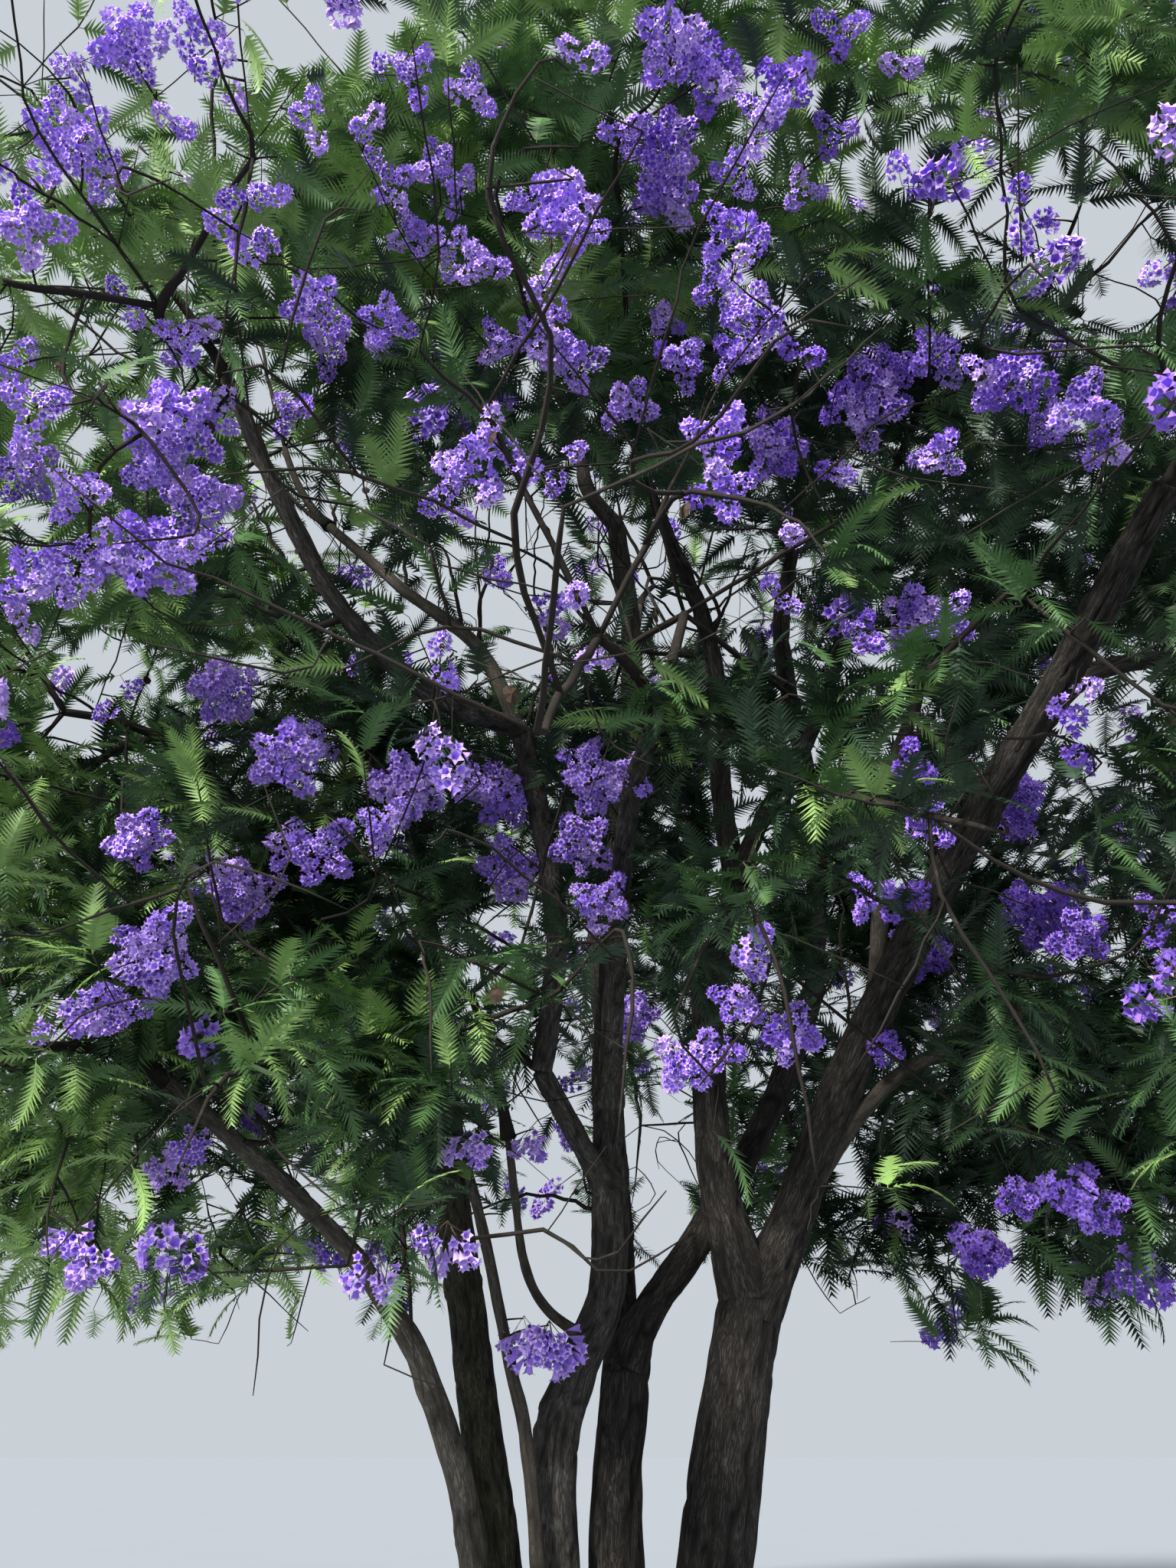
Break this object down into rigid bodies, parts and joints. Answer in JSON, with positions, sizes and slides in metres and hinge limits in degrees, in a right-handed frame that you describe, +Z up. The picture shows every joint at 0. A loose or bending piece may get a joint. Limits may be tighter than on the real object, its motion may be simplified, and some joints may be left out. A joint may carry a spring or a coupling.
{
  "type": "jacaranda tree",
  "caption": "Wide garden jacaranda in full flower: a clump of stems from one root crown, forking boughs and an airy round crown of ferny leaf sprays and violet-blue panicles.",
  "frame": {"origin": "on the ground, on the flat cut under the root crown, in the middle of the clump", "axes": "+Z up; the tree is seen from -Y, with +X to the right"},
  "size_m": [12.1715, 11.3414, 10.8397],
  "materials": {
    "bark": "rough grey-brown bark, furrowed lengthwise, with knots and old pruning scars",
    "young_bark": "smoother, lighter grey-brown bark of young limbs and twigs",
    "leaf": "soft, finely divided leaves, fresh yellow-green to deep green",
    "blossom": "soft violet-blue bells in loose panicles"
  },
  "bodies": {
    "root": {"bough_back": "bark", "bough_back_left": "bark", "bough_back_right": "bark", "bough_crossing": "bark", "bough_front": "bark", "bough_front_left": "bark", "bough_front_right": "bark", "bough_inner_right": "bark", "bough_knuckle": "bark", "bough_left": "bark", "bough_left_upright": "bark", "bough_light_right": "young_bark", "bough_low_right": "young_bark", "bough_lower_left": "bark", "bough_middle_left": "bark", "bough_middle_right": "bark", "bough_outer_right": "bark", "bough_right": "bark", "bough_upper_left": "young_bark", "bough_upright_right": "bark", "foliage_back": "blossom", "foliage_back_left": "leaf", "foliage_back_right": "leaf", "foliage_front": "blossom", "foliage_front_left": "blossom", "foliage_inner_left": "leaf", "foliage_left": "blossom", "foliage_left_front": "blossom", "foliage_low_back": "leaf", "foliage_low_back_left": "leaf", "foliage_low_back_right": "leaf", "foliage_low_front_left": "leaf", "foliage_low_front_right": "blossom", "foliage_low_left": "leaf", "foliage_low_left_front": "leaf", "foliage_low_right": "leaf", "foliage_middle_front": "blossom", "foliage_right": "blossom", "foliage_right_front": "blossom", "foliage_top": "blossom", "foliage_top_back": "blossom", "foliage_upper_front": "blossom", "foliage_upper_left": "blossom", "foliage_upper_left_back": "blossom", "foliage_upper_left_front": "blossom", "foliage_upper_right": "blossom", "foliage_upper_right_front": "blossom", "foliage_upper_right_side": "blossom", "leader": "bark", "leader_back": "young_bark", "leader_top": "bark", "root_crown": "bark", "shoot_slim": "young_bark", "stem_left": "bark", "stem_middle": "bark", "stem_ridged": "bark", "stem_right": "bark", "stem_rough": "bark", "stem_slim": "young_bark"}
  },
  "joints": []
}
